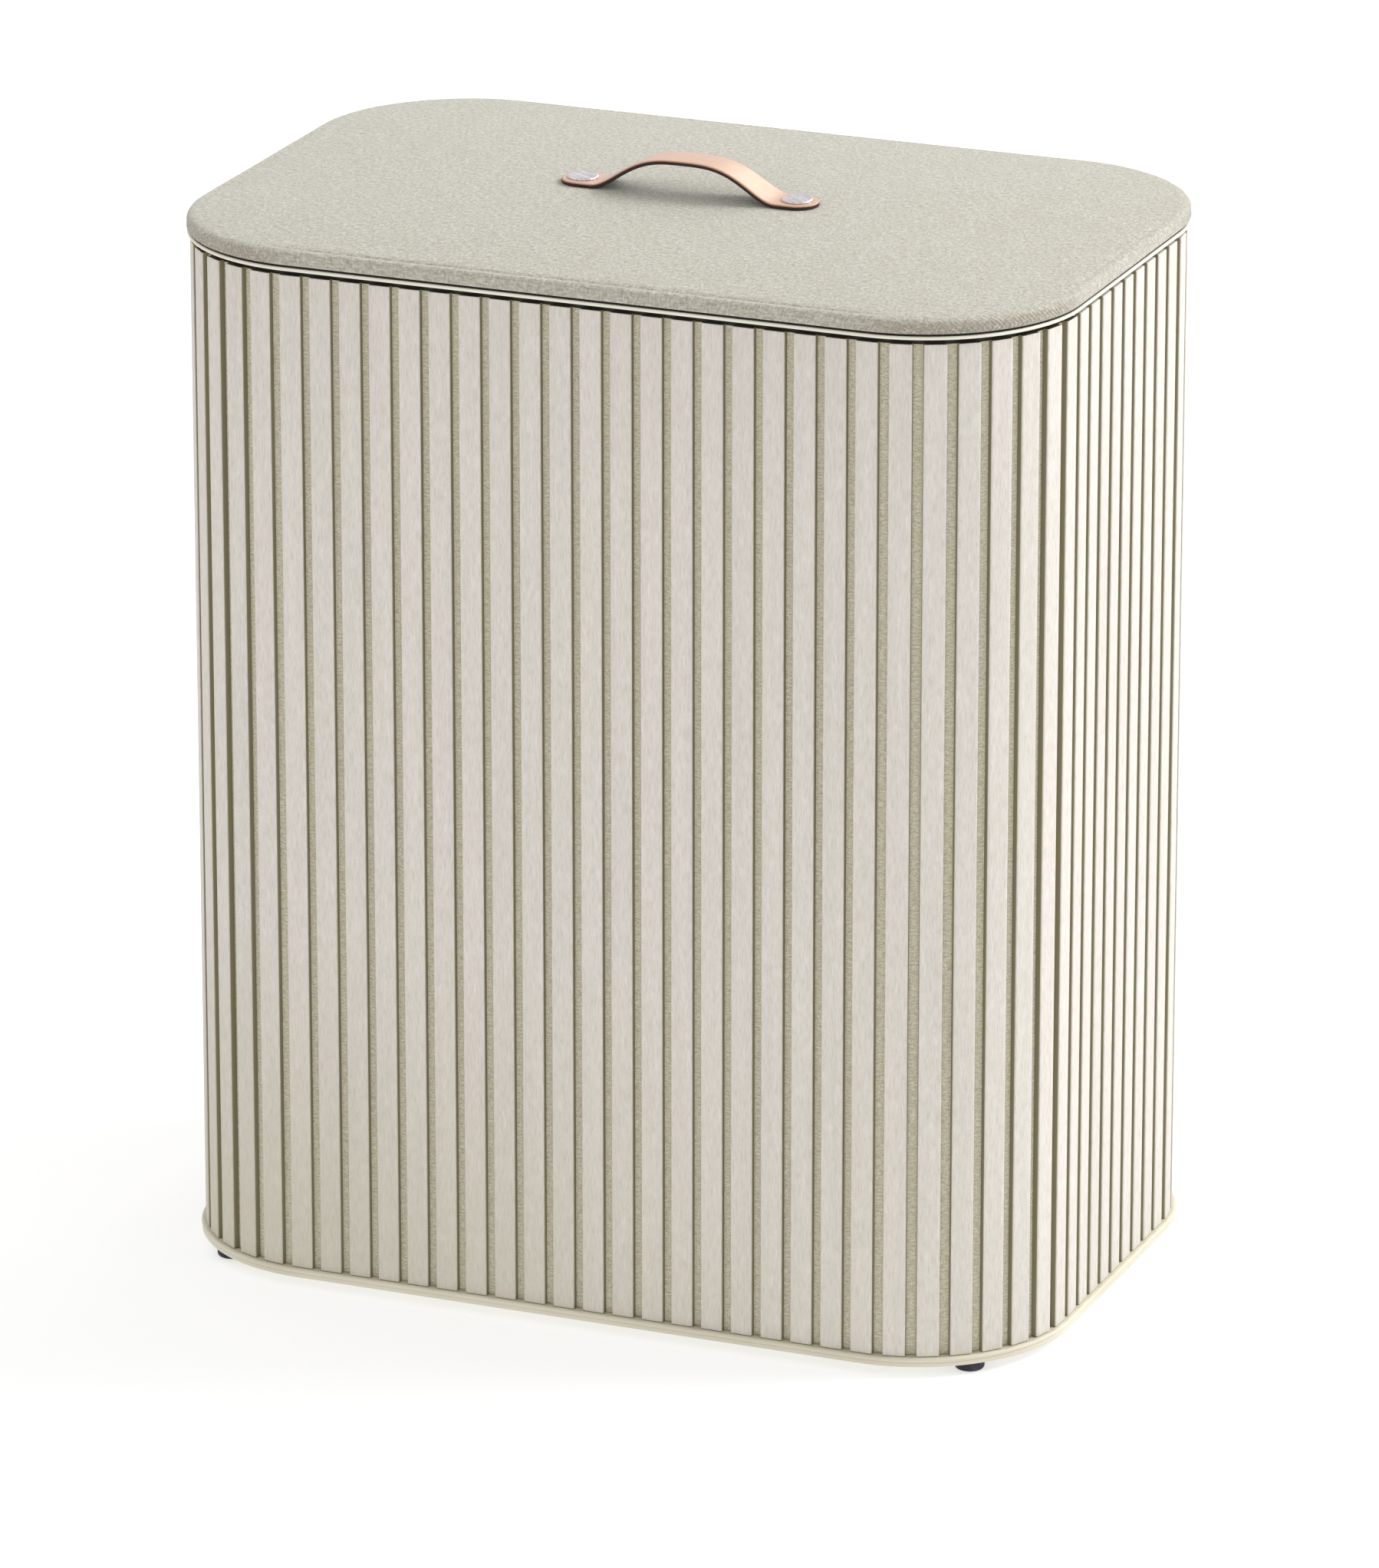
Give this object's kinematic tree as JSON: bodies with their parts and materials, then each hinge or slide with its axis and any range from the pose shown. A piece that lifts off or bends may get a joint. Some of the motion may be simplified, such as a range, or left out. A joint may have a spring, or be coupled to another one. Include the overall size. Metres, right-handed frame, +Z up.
{
  "type": "storage bin",
  "caption": "Upright rounded-rectangle storage bin with a vertical slatted wall, a fabric-covered padded lift-off lid and an arched leather strap handle.",
  "frame": {"origin": "on the floor under the middle of the bin", "axes": "+Z up; +X along the long front, to the viewer's right; the long front faces -Y"},
  "size_m": [0.404, 0.2672, 0.4907],
  "materials": {
    "moulding": "satin cream",
    "shell_moulding": "matt charcoal",
    "rim_moulding": "satin cream",
    "seal_rubber": "matt",
    "foot_rubber": "matt",
    "board": "fibreboard",
    "mat_fabric": "woven linen look",
    "lining_fabric": "plain cotton weave",
    "backing_fabric": "coarse khaki weave",
    "slat_wood": "limewashed, fine grain",
    "lid_fabric": "melange linen weave",
    "foam": "open-cell foam",
    "strap_leather": "natural tan with burnished dark edges",
    "rivet_steel": "satin"
  },
  "bodies": {
    "bin": {"base_tray": "moulding", "foot_front_left": "foot_rubber", "foot_front_right": "foot_rubber", "foot_back_left": "foot_rubber", "foot_back_right": "foot_rubber", "floor_board": "board", "floor_mat": "mat_fabric", "inner_shell": "shell_moulding", "wall_lining": "lining_fabric", "felt_backing": "backing_fabric", "slats_front": "slat_wood", "slats_front_right": "slat_wood", "slats_right": "slat_wood", "slats_back_right": "slat_wood", "slats_back": "slat_wood", "slats_back_left": "slat_wood", "slats_left": "slat_wood", "slats_front_left": "slat_wood", "top_rim": "rim_moulding", "rim_seal": "seal_rubber"},
    "lid": {"lid_board": "board", "lid_foam": "foam", "lid_cover": "lid_fabric", "lid_lining": "lining_fabric", "lid_frame": "rim_moulding", "frame_screws": "rivet_steel", "handle_strap": "strap_leather", "rivet_left": "rivet_steel", "rivet_right": "rivet_steel", "rivet_nut_left": "rivet_steel", "rivet_nut_right": "rivet_steel"}
  },
  "joints": [
    {"name": "lid_lift", "type": "slide", "parent": "bin", "child": "lid", "axis": [0, 0, 1], "range_m": [0, 0.15]}
  ]
}
